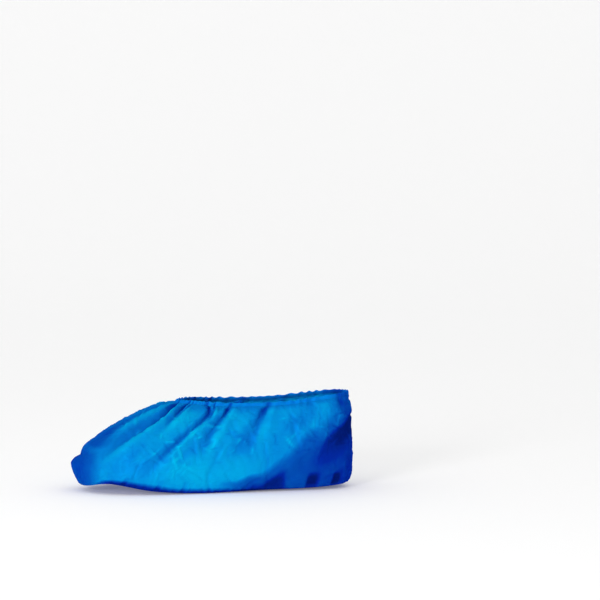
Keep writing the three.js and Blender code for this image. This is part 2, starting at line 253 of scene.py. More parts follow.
# At, depth in mm, half-width in ribs, reach as a share of the way down, drift along the way in ribs, kink
# beside the hem in ribs, lean in mm, and how many half-widths its shade spreads from the valley.
GATHERS = [
    (1.15, 1.4, 0.3, 0.4, 0, 0, 0, 1),
    (2.25, 1.2, 0.26, 0.5, 0.1, 0, 0.5, 1),
    (3.34, 4.5, 0.14, 0.8, 0.05, -0.06, 2, 1.2),
    (4.16, 5, 0.12, 0.76, 0.05, 0.1, 2.4, 1.1),
    (4.45, 4, 0.06, 0.3, 0, 0.36, 1, 1),
    (4.05, 5.5, 0.12, 0.92, 1.65, 1.05, 2, 1.7),
    (5.68, 5, 0.14, 0.46, -0.5, 0.42, 2, 1.1),
    (5.45, 3, 0.08, 0.3, 0, 0.4, 1, 1),
    (5.25, 6.5, 0.17, 0.74, 2.1, 1.75, 2.4, 2.2),
    (7.3, 1, 0.3, 0.52, 0, 0.2, 0.4, 1.4),
    (8.55, 1.8, 0.32, 0.52, 0, -0.2, -0.8, 1.4),
    (8.95, 6, 0.24, 0.62, 0.2, 0, -2.4, 1.8),
    (9.8, 5, 0.2, 0.5, 0.15, -0.2, -2, 1.2),
    (10.7, 5.5, 0.17, 0.72, -0.2, -0.3, -2.4, 1.6),
    (11.4, 4.5, 0.15, 0.55, 0, -0.2, -2, 1.2),
    (12.3, 4.5, 0.16, 0.6, -0.1, 0, -2, 1.3),
    (13.3, 2.4, 0.22, 0.5, 0, 0, -1, 1),
    (14.6, 2, 0.28, 0.45, 0, 0, 0, 1),
]
GATHER_AT_RIM = 0.5  # share of its depth at the hem
GATHER_PEAK = 0.07  # share of the way down where it is deepest
KINK_REACH = 0.15  # and over which its kink straightens
GATHER_NARROW = 0.6  # share of its width at the rim
GATHER_WIDE = 1.3  # and where it dies out
VALLEY_POWER = 1.15  # near 1, which keeps the valley's bottom sharp
SHOULDER = 0.38  # height of the shoulders, as a share of the depth
SHOULDER_AT = 1.9  # and their place, in half-widths
SHADED_DEPTH = 5  # depth in mm of a gather with its full painted shade
SHUT_REACH = (0.28, 0.1)  # going up over this stretch, a gather shuts
SHUT_SHARE = 0.5  # share of the painted shade that a shut gather adds
OPEN_SHARE = 1 - SHUT_SHARE
OPEN_FADES = 0.5  # share of its reach where an open gather's shade starts to fade
PALE_SHARE = 0.5  # share of the shade right at the hem
PALE_REACH = 0.08  # and the share of the way down where it is full
SHADE_EDGE = (-1, -0.3)  # the crisp side of the painted shade, in half-widths from the valley
SHADE_POWER = 1.4  # over 1, which keeps the shade full beside the valley before it fades
HIGHLIGHT_AT = -1.5  # the painted highlight on the ridge beside the crisp side
HIGHLIGHT_WIDTH = 0.55  # and its own half-width, measured in those of the valley


def gathers(at, down):
    """How far the pleats move the film, out of its wall and along the loop, and their painted shade and
    highlight.
    """
    out_of = np.zeros_like(at)
    along = np.zeros_like(at)
    shade = np.zeros_like(at)
    highlight = np.zeros_like(at)
    shut = SHUT_SHARE * smooth_step(down, *SHUT_REACH)
    from_hem = PALE_SHARE + (1 - PALE_SHARE) * smooth_step(down, 0, PALE_REACH)
    start = GATHER_AT_RIM + (1 - GATHER_AT_RIM) * np.minimum(1, down / GATHER_PEAK)
    for place, depth, width, reach, drift, kink, lean, spreads in GATHERS:
        spread = GATHER_NARROW + (GATHER_WIDE - GATHER_NARROW) * np.minimum(1, down / reach)
        line = place + drift * down + kink * np.exp(-down / KINK_REACH)
        off = around(line, at) / (width * spread)
        strength = start * smooth_step(down, reach, GATHER_PEAK) * MM
        valley = np.exp(-np.abs(off)**VALLEY_POWER)
        shoulders = bell(off - SHOULDER_AT) + bell(off + SHOULDER_AT)
        out_of += depth * strength * (SHOULDER * shoulders - valley)
        along += lean * strength * valley
        side = off * (1 if lean >= 0 else -1)
        open_way = OPEN_SHARE * smooth_step(down, reach, reach * OPEN_FADES)
        dark = min(1, depth / SHADED_DEPTH) * (shut + open_way) * from_hem
        across = smooth_step(side, *SHADE_EDGE) * np.exp(-(np.maximum(side, 0) / spreads)**SHADE_POWER)
        shade = np.maximum(shade, dark * across)
        highlight = np.maximum(highlight, dark * bell((side - HIGHLIGHT_AT) / HIGHLIGHT_WIDTH))
    return out_of, along, shade, highlight


pleats, pleat_lean, pleat_shade, pleat_highlight = gathers(AT, DOWN)
print("gathers", len(GATHERS), "deepest", round(pleats.min() / MM, 1), "mm")

# %% [markdown]
# ## Soft folds
# Below the gathers the film hangs in broad soft folds that go on in the same directions, valleys and
# ridges by turns, and these give the wall its play of lighter and darker blue. They could be left to
# noise, but noise has no direction, so a table places these folds too.

# %% Soft folds
# At, drift along the way in ribs, half-width in ribs, middle on the way down, half-height, and rise in mm.
SOFT_FOLDS = [
    (0.1, 0.5, 0.12, 0.62, 0.16, -1.2),
    (0.35, -0.4, 0.12, 0.8, 0.12, 1),
    (0.6, 0.3, 0.1, 0.6, 0.15, -1),
    (2.6, 0.15, 0.25, 0.4, 0.12, -0.5),
    (3.52, 0.15, 0.14, 0.56, 0.15, -1.4),
    (3.25, 0.1, 0.1, 0.4, 0.12, 0.8),
    (3.9, 0.4, 0.14, 0.72, 0.12, -0.9),
    (4.07, 0.4, 0.12, 0.48, 0.08, 1),
    (4.42, -0.75, 0.15, 0.52, 0.1, -0.9),
    (4.6, 0.9, 0.14, 0.66, 0.09, -1.5),
    (4.7, 0.7, 0.07, 0.42, 0.2, 0.8),
    (4.75, 1.9, 0.2, 0.74, 0.08, 1),
    (5.02, 1.4, 0.12, 0.62, 0.12, -1.1),
    (5.4, 0.6, 0.16, 0.3, 0.12, 1.2),
    (5.75, 1, 0.14, 0.6, 0.1, -0.9),
    (6.08, 1.3, 0.15, 0.48, 0.13, 1.2),
    (6.5, 1.4, 0.2, 0.36, 0.12, -1.6),
    (6.86, 0.6, 0.14, 0.34, 0.16, 1),
    (7.5, 0.3, 0.3, 0.38, 0.18, -1),
    (8.1, 0.2, 0.25, 0.4, 0.12, 1),
    (8.7, 0, 0.25, 0.38, 0.16, -1.4),
    (9.5, -0.8, 0.2, 0.4, 0.15, 1.4),
    (10, -1, 0.2, 0.5, 0.14, -1.6),
    (10.9, -0.6, 0.16, 0.55, 0.16, -1.4),
    (11.3, -0.6, 0.16, 0.45, 0.15, 1.2),
    (12, 0.2, 0.16, 0.6, 0.14, -1.3),
    (12.7, 0, 0.18, 0.5, 0.15, 1),
    (13.4, -0.2, 0.22, 0.45, 0.14, -1),
    (15.3, -0.3, 0.12, 0.66, 0.16, -1.1),
    (15.6, 0.3, 0.12, 0.78, 0.14, 1),
    (15.85, -0.4, 0.1, 0.7, 0.18, -1),
]


def soft_folds(at, down):
    total = np.zeros_like(at)
    for place, drift, width, middle, tall, rise in SOFT_FOLDS:
        line = place + drift * (down - middle)
        total += rise * MM * bell(around(line, at) / width) * bell((down - middle) / tall)
    return total


soft = soft_folds(AT, DOWN)
deepest_fold, highest_fold = (round(rise / MM, 1) for rise in (soft.min(), soft.max()))
print("soft folds", len(SOFT_FOLDS), "from", deepest_fold, "to", highest_fold, "mm")

# %% [markdown]
# ## Lobe, slack folds, dents and tuck
# At the toe a lobe of spare film hangs in front, under a crease. The heel has slack folds across it,
# and the corner of the bag is folded under, which leaves a slanting edge from high on the heel to the
# arch. Low on the wall the film sinks in, in a row of dents beside the edge of the sole. A sculptor's
# brush could push all of these, but they are plain swells and hollows of the wall, so a row of a table
# describes each lobe, fold and dent, and a curve describes the slanting edge.

# %% Lobe, slack folds and dents
# At, half-length in ribs, place on the way down, half-height as a share of it, and rise in mm.
FOLDS = [
    (8, 0.75, 0.7, 0.08, 3.8),  # lobe of spare film in front of the toe
    (8, 0.8, 0.53, 0.06, 1.8),  # swell above it
    (8, 0.8, 0.61, 0.035, -2),  # and the crease between the two
    (0, 0.7, 0.12, 0.05, -1.5),  # slack folds across the heel
    (0, 0.8, 0.4, 0.03, -1.6),
]
# At, half-width in ribs, and depth in mm.
DENTS = [
    (1.3, 0.15, 2.6),
    (2.04, 0.14, 2.6),
    (2.83, 0.2, 0.8),
    (4.4, 0.06, 0.6),
    (4.97, 0.06, 0.6),
    (5.72, 0.07, 0.7),
    (10.28, 0.07, 0.7),
    (11.03, 0.06, 0.6),
    (11.6, 0.06, 0.6),
    (13.17, 0.2, 0.8),
    (13.96, 0.14, 2.6),
    (14.7, 0.15, 2.6),
]
DEEP_DENT = 2.6 * MM  # depth of a dent with its full painted shade
DENT_DOWN = 0.9  # middle of the row on the way down
DENT_TALL = 0.06  # and its half-height
DENT_POWER = 4  # squares a dent off
WELD_RISE = 0.5 * MM
WELD_WIDTH = 0.045  # half-width in ribs


def folds(at, down):
    total = np.zeros_like(at)
    for place, span, middle, tall, rise in FOLDS:
        total += rise * MM * bell(around(place, at) / span) * bell((down - middle) / tall)
    return total


def dents(at, down):
    total = np.zeros_like(at)
    upright = np.exp(-((down - DENT_DOWN) / DENT_TALL)**DENT_POWER)
    for place, width, depth in DENTS:
        total += depth * MM * np.exp(-(around(place, at) / width)**DENT_POWER) * upright
    return total


def welds(at):
    """The two lines where the sheet is welded up, at the toe and at the heel."""
    return bell(around(0, at) / WELD_WIDTH) + bell(around(TOE, at) / WELD_WIDTH)


dent_depth = dents(AT, DOWN)
swells = folds(AT, DOWN) + WELD_RISE * welds(AT)
print("dents", len(DENTS), "deepest", round(dent_depth.max() / MM, 1), "mm")
print("folds", len(FOLDS), "highest", round(swells.max() / MM, 1), "mm")

# %% Tucked corner
TUCK_DEPTH = 3.5 * MM
TUCK_AT_HEEL = 0.2  # share of its depth at the heel weld
TUCK_DEEPENS = (0.2, 1.6)  # it deepens over these ribs from the weld
TUCK_ALONG = (16 * MM, 140 * MM)  # where its edge starts at the arch, and ends near the heel
TUCK_UP = (6 * MM, 78 * MM)  # and how high it is there
TUCK_SWEEP = 1.5  # the power by which it curves up
TUCK_TILT = 0.8  # cosine of the edge's mean slope
TUCK_WAVES = ((1.5 * MM, 11 * MM, 0), (1 * MM, 4.7 * MM, 1))  # height, length of a radian, and phase
TUCK_BEGINS = (16 * MM, 48 * MM)  # it comes up over this stretch of the arch
TUCK_SOFT = 15 * MM  # how gradually the film turns in
TUCK_ENDS = (1, 0.8)  # from no depth at the sole's edge to its full depth higher up


def below_tuck(points):
    """How far a point lies under the slanting, wavy edge of the folded corner, in metres."""
    along = points[..., 0]
    share = np.clip((along - TUCK_ALONG[0]) / (TUCK_ALONG[1] - TUCK_ALONG[0]), 0, 1)
    edge = TUCK_UP[0] + (TUCK_UP[1] - TUCK_UP[0]) * share**TUCK_SWEEP
    wave = sum(height * np.sin(along / length + phase) for height, length, phase in TUCK_WAVES)
    return (edge - points[..., 2]) * TUCK_TILT + wave


ALONG = taut[..., 0]
FROM_HEEL = np.abs(around(0, AT))
below = below_tuck(taut)
tuck_share = TUCK_AT_HEEL + (1 - TUCK_AT_HEEL) * smooth_step(FROM_HEEL, *TUCK_DEEPENS)
tuck_share *= smooth_step(ALONG, *TUCK_BEGINS) * smooth_step(DOWN, *TUCK_ENDS)
tuck = TUCK_DEPTH * tuck_share * smooth_step(below, 0, TUCK_SOFT)
print("the tuck covers", round(float((below > 0).mean()) * 100), "percent of the film")

# %% [markdown]
# ## Ruffles
# The elastic draws small uneven ruffles all round the mouth. A plain wave would look machine-made and
# noise would look crumpled, so one wave goes round the mouth, and slower ones push it together and apart
# and vary its height. Near the hem every movement is level, so that the film's edge stays in the hem.
# Lower down the film moves square to its own wall.

# %% Ruffles
RUFFLES = 58
RUFFLE_DEPTH = 0.8 * MM
RUFFLE_REACH = 0.13  # share of the way down
BUNCHING = 1.6  # how far the ruffles are pushed together and apart, in radians
BUNCH_WAVES = ((5, 0), (11, 2))  # by these waves round the mouth, each with its phase
RUFFLE_MEAN = 0.65  # mean share of the depth
RUFFLE_SWING = 0.35  # and how far it swings about that
SWING_WAVES = 7
SWING_PHASE = 1


def ruffles(at, down):
    turn = 2 * np.pi * at / LOOP
    bunched = sum(np.sin(waves * turn + phase) for waves, phase in BUNCH_WAVES)
    height = RUFFLE_MEAN + RUFFLE_SWING * np.sin(SWING_WAVES * turn + SWING_PHASE)
    crest = np.cos(RUFFLES * turn + BUNCHING * bunched)
    return RUFFLE_DEPTH * height * crest * smooth_step(down, RUFFLE_REACH, 0)


rim_ruffles = ruffles(AT, DOWN)
print("ruffles", RUFFLES, "up to", round(rim_ruffles.max() / MM, 2), "mm")

# %% Folded film
LEVEL_REACH = 0.2  # down to here the film is drawn level
SMOOTH_FOOT = 0.93  # from here down to the edge of the sole the folds die out


def normals(points):
    """Outward normals of rings of points."""
    round_loop = np.roll(points, -1, 1) - np.roll(points, 1, 1)
    return unit(np.cross(round_loop, np.gradient(points, axis=0)))


_, level_ways = point_loop("rim", AT)
drawn_level = smooth_step(DOWN, LEVEL_REACH, 0)[..., None]
pull_ways = unit(level_ways * drawn_level + normals(taut) * (1 - drawn_level))
loop_ways = unit(np.roll(taut, -1, 1) - np.roll(taut, 1, 1))
on_wall = smooth_step(DOWN, 1, SMOOTH_FOOT)
rise = (pleats + soft + swells - dent_depth - tuck) * on_wall + rim_ruffles
folded = taut + pull_ways * rise[..., None] + loop_ways * pleat_lean[..., None]
print("film rises from", round(rise.min() / MM, 1), "to", round(rise.max() / MM, 1), "mm")

# %% [markdown]
# ## Creases
# Film keeps the memory of every fold: short straight creases that cross each other, with flat facets
# between them. Noise would look like cloth, so the creases are drawn one by one, each a narrow tent
# on a line of its own. A fixed seed keeps them the same every time.

# %% Creases
SEED = 11
# Count, shortest and longest in mm, narrowest and widest, lowest and highest, and how far they turn
# from the way down the wall, in radians.
CREASE_KINDS = [
    (45, (30, 60), (2.5, 5), (0.25, 0.6), 0.35),
    (90, (12, 35), (3, 7), (0.3, 0.75), 0.9),
    (560, (5, 14), (1.3, 2.8), (0.15, 0.5), 1.3),
]
CREASE_DOWN = (0.07, 0.97)  # where the middle of a crease may lie on the way down
CREASE_THROUGH = 20 * MM  # it dies out over this depth, so it stays on its own side of the cover
CREASE_FADES = (0.02, 0.1)  # over this stretch it fades in below the hem
CALM_ALONG = (-58 * MM, -98 * MM)  # over this stretch the film gets smoother, towards the toe
CALM_DOWN = (0.3, 0.5)  # and over this one, on the way down
CALM_SHARE = 0.85  # share of the relief that it loses


def draw_crease(points, faces_out, ways_down, random, kind):
    """The rise of one crease at every point."""
    _, lengths, widths, heights, turning = kind
    row = random.integers(int(ROWS * CREASE_DOWN[0]), int(ROWS * CREASE_DOWN[1]))
    column = random.integers(0, COLUMNS)
    turn = random.normal(0, turning)
    length = random.uniform(*lengths) * MM / 2
    width = random.uniform(*widths) * MM
    height = random.uniform(*heights) * MM * random.choice((-1, 1))
    out = faces_out[row, column]
    down_way = ways_down[row, column]
    side_way = np.cross(out, down_way)
    line = down_way * np.cos(turn) + side_way * np.sin(turn)
    across = side_way * np.cos(turn) - down_way * np.sin(turn)
    offset = points - points[row, column]
    tent = np.maximum(0, 1 - np.abs(offset @ across) / width)
    return height * tent * bell(offset @ line / length) * bell(offset @ out / CREASE_THROUGH)


def film_creases(points):
    """The relief of each kind of crease."""
    random = np.random.default_rng(SEED)
    faces_out = normals(points)
    ways_down = unit(np.gradient(points, axis=0))
    at_toe = smooth_step(points[..., 0], *CALM_ALONG) * smooth_step(DOWN, *CALM_DOWN)
    share = (1 - CALM_SHARE * at_toe) * on_wall * smooth_step(DOWN, *CREASE_FADES)
    reliefs = []
    for kind in CREASE_KINDS:
        drawn = (draw_crease(points, faces_out, ways_down, random, kind) for _ in range(kind[0]))
        reliefs.append(sum(drawn) * share)
    return reliefs


long_creases, short_creases, crumple = film_creases(folded)
creased = long_creases + short_creases + crumple
folded = folded + normals(folded) * creased[..., None]
print("creases", sum(kind[0] for kind in CREASE_KINDS), "highest", round(creased.max() / MM, 2), "mm")

# %% [markdown]
# ## The film's mesh
# The film is one skin of four-sided faces between neighbouring rings. Under the wall the rings go on
# across the sole, and shrink to the line between toe and heel, where both sides meet. One large face
# could close the sole instead, but it would shade badly and could not carry a tone.

# %% The film's mesh
SOLE_ROWS = 10
JOIN_DISTANCE = 1e-7


def sole_rings(edge):
    """Rings from the sole's edge in to its middle line. The last one is the line itself."""
    partner = np.roll(edge[::-1], 1, 0)
    middle = (edge + partner) / 2
    shares = np.arange(1, SOLE_ROWS + 1)[:, None, None] / SOLE_ROWS
    return edge + (middle - edge) * shares


def ring_faces(rows, columns):
    """Four-sided faces between neighbouring rings, outside out."""
    row, column = np.meshgrid(np.arange(rows), np.arange(columns), indexing="ij")
    after = (column + 1) % columns
    upper = [row * columns + column, row * columns + after]
    lower = [(row + 1) * columns + after, (row + 1) * columns + column]
    return np.stack(upper + lower, -1).reshape(-1, 4)


def make_object(name, points, faces):
    mesh = bpy.data.meshes.new(name)
    mesh.from_pydata(points.reshape(-1, 3).tolist(), [], faces.tolist())
    mesh.shade_smooth()
    made = bpy.data.objects.new(name, mesh)
    bpy.context.scene.collection.objects.link(made)
    return made


def join_doubles(made):
    """Joins points that lie on each other, and drops the faces that this leaves without an area."""
    shape = bmesh.new()
    shape.from_mesh(made.data)
    bmesh.ops.remove_doubles(shape, verts=shape.verts, dist=JOIN_DISTANCE)
    bmesh.ops.dissolve_degenerate(shape, edges=shape.edges, dist=JOIN_DISTANCE)
    shape.to_mesh(made.data)
    shape.free()


wall_faces = ring_faces(ROWS, COLUMNS)
film_faces = ring_faces(ROWS + SOLE_ROWS, COLUMNS)
print("faces", len(wall_faces), "on the wall and", len(film_faces) - len(wall_faces), "under it")

# %% [markdown]
# ## Buckling
# Real film is a little too large for the form that it lies on, so it buckles between its creases. More
# folds from a table could stand for that, but it is what a cloth simulation does well: the film grows
# by a few percent, with its mouth and its sole held and the rest tied to its place by weak springs. The
# solver is happier at ten times the size.

# %% Buckling
SIM_SCALE = 10.0
SIM_FRAMES = 8
SIM_GROWTH = 0.05
SIM_TIE = 0.35  # how firmly a point is tied to its place, from 0 to 1
HELD_AT_MOUTH = 2  # rows
HELD_AT_SOLE = 4
FILM_CLOTH = {
    "quality": 5,
    "mass": 0.05,
    "tension_stiffness": 25,
    "compression_stiffness": 25,
    "shear_stiffness": 12,
    "bending_stiffness": 0.05,
    "pin_stiffness": 1,
    "shrink_min": -SIM_GROWTH,
}


def hold(film, shape):
    """The vertex group that holds the mouth and the sole's edge, and ties the rest."""
    tie = np.full(shape, SIM_TIE)
    tie[:HELD_AT_MOUTH] = 1
    tie[-HELD_AT_SOLE:] = 1
    held = film.vertex_groups.new(name="held")
    for weight in (SIM_TIE, 1):
        held.add(np.flatnonzero(tie.ravel() == weight).tolist(), weight, "REPLACE")
    return held


def buckled(points):
    film = make_object("buckling film", points * SIM_SCALE, wall_faces)
    cloth = film.modifiers.new("buckling", "CLOTH")
    cloth.settings.vertex_group_mass = hold(film, points.shape[:2]).name
    for name, value in FILM_CLOTH.items():
        setattr(cloth.settings, name, value)
    cloth.settings.effector_weights.gravity = 0
    cloth.collision_settings.use_collision = False
    cloth.point_cache.frame_end = SIM_FRAMES
    for step in range(1, SIM_FRAMES + 1):
        bpy.context.scene.frame_set(step)
    shape = film.evaluated_get(bpy.context.evaluated_depsgraph_get()).data
    result = np.empty(points.size, np.float32)
    shape.vertices.foreach_get("co", result)
    bpy.data.objects.remove(film)
    bpy.context.scene.frame_set(1)
    return result.reshape(points.shape) / SIM_SCALE


before = folded
folded = buckled(before)
moved = np.linalg.norm(folded - before, axis=-1) / MM
print("buckling moves the film by", round(moved.mean(), 2), "mm, at most", round(moved.max(), 2))

# %% [markdown]
# ## Tone of the film
# The film is light blue where it is stretched smooth, and deeper where it stands off, lies double or
# tucks under. Real see-through film gets that from the light that passes through it, which would need
# many thin layers and a slow render, and a painted picture would not follow a change of the form. So
# each point of the mesh carries a tone, from 0, light, to 1, deep, worked out from its place on the
# film: broad zones first, and then what the gathers, folds and creases add. Most of the tone is painted
# light and shade: painted shade where the film hangs free, stands off, faces away from the lamp and
# tucks under, in valleys and dents and along the edge under the sole, and painted highlights on
# ridges, creases and low in the middle of the wall.
# Spans give where a zone starts and where it is full: in metres along the cover, with the toe at the
# minus end, in metres below the tuck's edge, as shares of the way down, or in ribs from a weld.

# %% Tone of the toe
# Painted shade: on the lobe, which hangs free of the toe, and on the vamp, which faces up, away from the
# lamp.
LOBE_TONE = 0.69
LOBE_ALONG = (-101 * MM, -139 * MM)
VAMP_TONE = 0.42
VAMP_DEEPER = 0.18  # more painted shade, added lower on the vamp
VAMP_DEEPENS = (0.25, 0.45)
VAMP_BESIDE = (1.55, 0.5)  # ribs from the toe weld
VAMP_WIDER = 0.3  # ribs by which it is wider lower down
VAMP_WIDENS = (0.3, 0.5)
VAMP_ENDS = (0.66, 0.5)
FROM_TOE = np.abs(around(TOE, AT))


def toe_zones():
    """Painted shade on the lobe, which hangs free, and on the vamp above it, which faces up and stands off
    beside the weld.
    """
    lobe = LOBE_TONE * smooth_step(ALONG, *LOBE_ALONG)
    vamp = VAMP_TONE + VAMP_DEEPER * smooth_step(DOWN, *VAMP_DEEPENS)
    beside = FROM_TOE - VAMP_WIDER * smooth_step(DOWN, *VAMP_WIDENS)
    vamp *= smooth_step(beside, *VAMP_BESIDE) * smooth_step(DOWN, *VAMP_ENDS)
    return [lobe, vamp]


print("toe's tones up to", [round(float(zone.max()), 2) for zone in toe_zones()])

# %% Tone of the heel
TURN_TONE = 0.7  # painted shade round the back of the heel, which faces away from the lamp
TURN_BESIDE = (2.4, 0.7)  # ribs from the heel weld
TURN_WELD = 0.45  # half-width in ribs of the paler stripe on the weld
UPPER_TONE = 0.26  # painted shade added high on the tucked corner
UPPER_ALONG = (78 * MM, 134 * MM)
UPPER_BELOW = (32 * MM, 10 * MM)
UPPER_WELD = 0.55  # half-width of the stripe there
WELD_PALE = 0.25  # share of the tone that the weld's stripe loses
CORNER_TONE = 0.64  # painted shade of the tucked corner, where the film turns in under the heel
CORNER_BELOW = (-3 * MM, 7 * MM)
CORNER_ALONG = (-15 * MM, 32 * MM)
CORNER_TURN = 0.25  # share of the turn's tone that it gains
BAND_TONE = 0.6  # lighter painted shade on the film over the tuck's edge
BAND_TALL = 7 * MM
BAND_GROWS = ((8 * MM, (20 * MM, 60 * MM)), (15 * MM, (60 * MM, 105 * MM)))  # by how much, and where
ARCH_TONE = 0.2  # painted shade added at the arch, where the corner also lies double
ARCH_STARTS = (14 * MM, 42 * MM)
ARCH_ENDS = (73 * MM, 66 * MM)
ARCH_BELOW = (1 * MM, 8 * MM)


def heel_zones():
    """Painted shade on the tucked corner, with the band over its edge, and on the turn round the back of
    the heel.
    """
    turn = TURN_TONE * smooth_step(FROM_HEEL, *TURN_BESIDE) * (1 - WELD_PALE * bell(FROM_HEEL / TURN_WELD))
    upper = smooth_step(ALONG, *UPPER_ALONG) * smooth_step(below, *UPPER_BELOW)
    upper *= 1 - WELD_PALE * bell(FROM_HEEL / UPPER_WELD)
    corner = CORNER_TONE + UPPER_TONE * upper + CORNER_TURN * turn
    band = BAND_TALL + sum(taller * smooth_step(ALONG, *span) for taller, span in BAND_GROWS)
    heel = BAND_TONE * smooth_step(below, -band, 0)
    heel += (corner - BAND_TONE) * smooth_step(below, *CORNER_BELOW)
    heel *= smooth_step(ALONG, *CORNER_ALONG)
    return [heel, turn]


def arch_tone():
    return (ARCH_TONE * smooth_step(ALONG, *ARCH_STARTS) * smooth_step(ALONG, *ARCH_ENDS)
            * smooth_step(below, *ARCH_BELOW))


print("heel's tones up to", [round(float(zone.max()), 2) for zone in heel_zones()])

# %% Tone of the wall
EDGE_TONE = 0.9  # painted shade where the wall rolls in under the sole
EDGE_DOWN = (0.865, 0.955)
EDGE_ALONG = (-135 * MM, -108 * MM)
EDGE_SHIFT = 0.03  # how much sooner it starts at the toe, and later at the heel
EDGE_SOONER = (-40 * MM, -70 * MM)
EDGE_LATER = (25 * MM, 60 * MM)
RIM_TONE = 0.37
RIM_DOWN = (0.34, 0)
WALL_TONE = 0.26
WALL_PALER = 0.07  # between toe and arch
WALL_PALES = (-90 * MM, -40 * MM)
WALL_DEEPENS = (15 * MM, 65 * MM)
GLEAM_TONE = 0.09  # painted highlight, taken off low in the middle of the wall
GLEAM_DOWN = (0.8, 0.12)  # its middle and half-width
GLEAM_ALONG = (-10 * MM, 45 * MM)


def bell_over(x, middle, width):
    return bell((x - middle) / width)


def wall_zones():
    """The wall itself, its rim, painted shade along the edge where it rolls under the sole, and a painted
    highlight.
    """
    sooner = smooth_step(ALONG, *EDGE_SOONER) - smooth_step(ALONG, *EDGE_LATER)
    edge = EDGE_TONE * smooth_step(DOWN + EDGE_SHIFT * sooner, *EDGE_DOWN) * smooth_step(ALONG, *EDGE_ALONG)
    rim = RIM_TONE * smooth_step(DOWN, *RIM_DOWN)
    paler = smooth_step(ALONG, *WALL_PALES) - smooth_step(ALONG, *WALL_DEEPENS)
    gleam = GLEAM_TONE * bell_over(DOWN, *GLEAM_DOWN) * bell_over(ALONG, *GLEAM_ALONG)
    return [edge, rim, WALL_TONE - WALL_PALER * paler - gleam]


print("wall's tones up to", [round(float(zone.max()), 2) for zone in wall_zones()])

# %% Tone of the folds
# Painted shade in the gathers' valleys, and a painted highlight on the ridge beside each.
GATHER_TONE = 0.5
HIGHLIGHT_TONE = 0.1
# Painted shade in the dents low on the wall.
DENT_TONE = 0.34
WELD_TONE = 0.06
# Painted highlights on the ridges of soft folds and creases, and painted shade in their valleys. The glints
# are painted highlights on the smallest creases.
# Tone, the rise that takes it off in full, and the least and the most that counts, in such rises.
FOLD_RELIEF = (0.09, 1.2 * MM, -1.5, 1)
CREASE_RELIEF = (0.05, 0.6 * MM, -1, 1)
GLINT_RELIEF = (0.2, 0.4 * MM, -0.4, 1)
GLINT_STARTS = (0.15, 0.35)
GLINT_ENDS = (0.9, 0.62)
HEEL_CALM = 0.6  # share of the small tones that the heel's zone takes away


def relief_tone(relief, tone, full_rise, least, most):
    """A painted highlight on a ridge, and painted shade in a valley."""
    return -tone * np.clip(relief / full_rise, least, most)


def tone_of_film():
    """The deepest zone at each point, with what the folds add to it."""
    heel, turn = heel_zones()
    zones = [heel, turn, *toe_zones(), *wall_zones()]
    glint = relief_tone(crumple, *GLINT_RELIEF)
    glint *= smooth_step(DOWN, *GLINT_STARTS) * smooth_step(DOWN, *GLINT_ENDS)
    small = glint + relief_tone(soft, *FOLD_RELIEF)
    small += relief_tone(long_creases + short_creases, *CREASE_RELIEF)
    small *= 1 - HEEL_CALM * heel
    total = np.maximum.reduce(zones) + arch_tone() + small
    total += GATHER_TONE * pleat_shade - HIGHLIGHT_TONE * pleat_highlight
    total += DENT_TONE * dent_depth / DEEP_DENT + WELD_TONE * welds(AT)
    return np.clip(total, 0, 1)


film_tone = tone_of_film()
print("tone of the film from", film_tone.min().round(2), "to", film_tone.max().round(2))

# %% [markdown]
# ## Film sheet
# The whole film is one sheet with its tone painted on the points. A skin without thickness has no edge,
# and its inside can vanish in other programs. Two skins by hand would double the work, so a Solidify
# modifier adds a thin inner side.

# %% Film sheet
FILM_THICK = 0.4 * MM
SOLE_TONES = (0.85, 0.6)  # from the sole's edge to its middle line
TONE_NAME = "film_tone"


def paint_tone(made, values):
    attribute = made.data.attributes.new(TONE_NAME, "FLOAT", "POINT")
    attribute.data.foreach_set("value", values.astype(np.float32).ravel())


def make_film():
    sheet = np.concatenate([folded, sole_rings(folded[-1])])
    film = make_object("gathered_film", sheet, film_faces)
    sole_tone = np.linspace(*SOLE_TONES, SOLE_ROWS)[:, None] * np.ones(COLUMNS)
    paint_tone(film, np.concatenate([film_tone, sole_tone]))
    join_doubles(film)
    thickness = film.modifiers.new("film thickness", "SOLIDIFY")
    thickness.thickness = FILM_THICK
    thickness.offset = -1
    return film


film = make_film()
print("film", len(film.data.vertices), "points", len(film.data.polygons), "faces")

# %% [markdown]
# ## Hem
# The film's edge is folded over the elastic and welded, which leaves a narrow ruffled band. A separate
# strip would show a seam, so the band is a flattened tube that starts and ends on the film's own edge
# and goes through the same ruffles.

# %% Hem
# Out of the film's edge and up, in mm, from inside the film up its outer face and round to its inner one.
HEM_PROFILE = np.array([
    (-0.2, -0.8), (0.02, 0.1), (0.1, 0.7), (0.15, 1.5), (0.1, 2.5), (0, 3.3), (-0.25, 3.9), (-0.65, 4.1),
    (-1.1, 3.9), (-1.4, 3.2), (-1.5, 2.2), (-1.3, 1.2), (-0.9, 0.4), (-0.35, -0.3),
]) * MM
HEM_SWAY = 0.55 * MM  # how far a ruffle pushes its top edge out
HEM_LIFT = 0.75 * MM  # and up
HEM_LEAN = 0.8  # how far it leans the way the film comes up to it
HEM_LEAN_ROW = 3  # the row that gives that way


